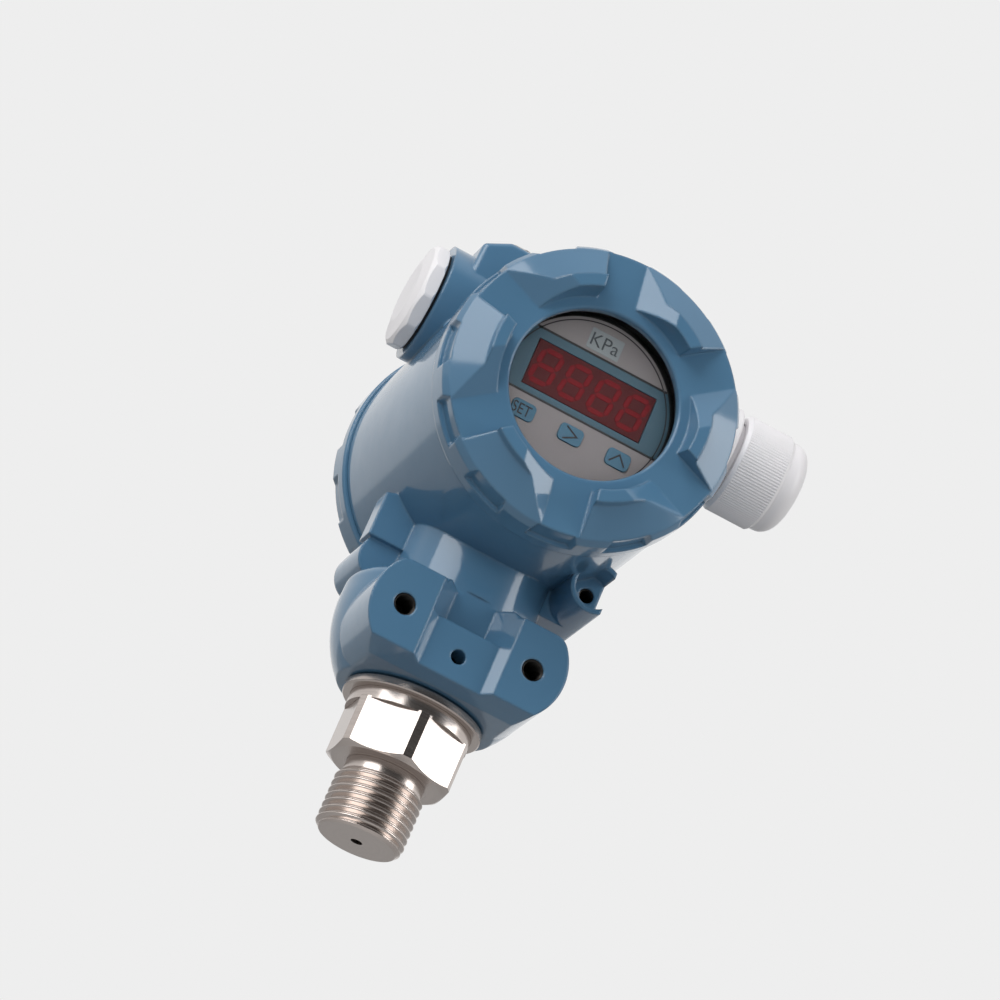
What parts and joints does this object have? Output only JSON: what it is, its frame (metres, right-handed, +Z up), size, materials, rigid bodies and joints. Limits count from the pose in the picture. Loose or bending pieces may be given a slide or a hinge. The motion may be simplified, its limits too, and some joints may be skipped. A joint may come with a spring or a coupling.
{
  "type": "pressure transmitter",
  "caption": "Industrial pressure transmitter: blue cast housing on a threaded steel process fitting, with a crowned screw cover and window over a digital display, and a cable gland.",
  "frame": {"origin": "mouth of the pressure port, the centre of the free end of the process thread", "axes": "+Z up along the process fitting and stem, -Y towards the viewer of the display, +X towards the cable gland"},
  "size_m": [0.1026, 0.0969, 0.144],
  "materials": {
    "paint_blue": "smooth blue enamel on die-cast aluminium",
    "glass": "clear",
    "rubber_black": "matt",
    "ring_black": "matt black",
    "zinc": "zinc plated",
    "steel": "turned stainless steel",
    "lead_grey": "matt",
    "board_green": "solder resist",
    "chip_black": "matt",
    "brass": "plain",
    "bezel_black": "matt",
    "faceplate_grey": "printed film",
    "window_red": "tinted",
    "nylon": "moulded nylon",
    "plate_steel": "bare",
    "key_blue": "printed film"
  },
  "bodies": {
    "body": {"housing": "paint_blue", "lock_screw": "zinc", "process_fitting": "steel", "fitting_seal": "rubber_black", "sensor_cell": "steel", "sensor_seal": "rubber_black", "sensor_nut": "steel", "sensor_lead": "lead_grey", "main_board": "board_green", "main_chips": "chip_black", "rear_spacers": "brass", "front_spacers": "brass", "board_screws": "zinc", "display_board": "board_green", "display_bezel": "bezel_black", "display_faceplate": "faceplate_grey", "led_window": "window_red", "led_module": "chip_black", "key_switches": "chip_black", "terminal_block": "bezel_black", "terminal_plates": "zinc", "terminal_screws": "zinc", "block_screws": "zinc", "ground_screw": "zinc", "gland_washer": "nylon", "gland_body": "nylon", "gland_seal": "rubber_black", "nameplate": "plate_steel", "nameplate_pad": "rubber_black", "nameplate_rivets": "plate_steel"},
    "front_window": {"window_glass": "glass", "window_gasket": "rubber_black", "glass_ring": "ring_black", "front_cover_seal": "rubber_black"},
    "front_cover_crown": {"front_cover": "paint_blue"},
    "rear_seal_ring": {"rear_cover_seal": "rubber_black"},
    "rear_cover_crown": {"rear_cover": "paint_blue"},
    "gland_slip": {"gland_slip_ring": "nylon"},
    "gland_nut_turning": {"gland_nut": "nylon"},
    "plug_seal_ring": {"plug_seal": "rubber_black"},
    "plug_turning": {"blanking_plug": "nylon"},
    "set_key": {"key_set": "key_blue"},
    "shift_key": {"key_shift": "key_blue"},
    "up_key": {"key_up": "key_blue"}
  },
  "joints": [
    {"name": "front_cover_travel", "type": "slide", "parent": "body", "child": "front_window", "axis": [0, -1, 0], "range_m": [0, 0.0105]},
    {"name": "front_cover_turn", "type": "hinge", "parent": "front_window", "child": "front_cover_crown", "pos_m": [0, -0.0374, 0.1026], "axis": [0, -1, 0], "range_deg": [0, 2520]},
    {"name": "rear_cover_travel", "type": "slide", "parent": "body", "child": "rear_seal_ring", "axis": [0, 1, 0], "range_m": [0, 0.0105]},
    {"name": "rear_cover_turn", "type": "hinge", "parent": "rear_seal_ring", "child": "rear_cover_crown", "pos_m": [0, 0.0293, 0.1026], "axis": [0, 1, 0], "range_deg": [0, 2520]},
    {"name": "gland_nut_travel", "type": "slide", "parent": "body", "child": "gland_slip", "axis": [1, 0, 0], "range_m": [0, 0.0075]},
    {"name": "gland_nut_turn", "type": "hinge", "parent": "gland_slip", "child": "gland_nut_turning", "pos_m": [0.044, -0.001, 0.1242], "axis": [1, 0, 0], "range_deg": [0, 1800]},
    {"name": "plug_travel", "type": "slide", "parent": "body", "child": "plug_seal_ring", "axis": [-1, 0, 0], "range_m": [0, 0.0105]},
    {"name": "plug_turn", "type": "hinge", "parent": "plug_seal_ring", "child": "plug_turning", "pos_m": [-0.0357, -0.001, 0.1242], "axis": [-1, 0, 0], "range_deg": [0, 2520]},
    {"name": "set_press", "type": "slide", "parent": "body", "child": "set_key", "axis": [0, 1, 0], "range_m": [0, 0.0003], "stiffness_N_per_m": 400, "springref_m": -0.0005},
    {"name": "shift_press", "type": "slide", "parent": "body", "child": "shift_key", "axis": [0, 1, 0], "range_m": [0, 0.0003], "stiffness_N_per_m": 400, "springref_m": -0.0005},
    {"name": "up_press", "type": "slide", "parent": "body", "child": "up_key", "axis": [0, 1, 0], "range_m": [0, 0.0003], "stiffness_N_per_m": 400, "springref_m": -0.0005}
  ],
  "couplings": [
    {"joint": "front_cover_travel", "follows": "front_cover_turn", "m_per_rad": 0.00023873},
    {"joint": "rear_cover_travel", "follows": "rear_cover_turn", "m_per_rad": 0.00023873},
    {"joint": "gland_nut_travel", "follows": "gland_nut_turn", "m_per_rad": 0.00023873},
    {"joint": "plug_travel", "follows": "plug_turn", "m_per_rad": 0.00023873}
  ]
}
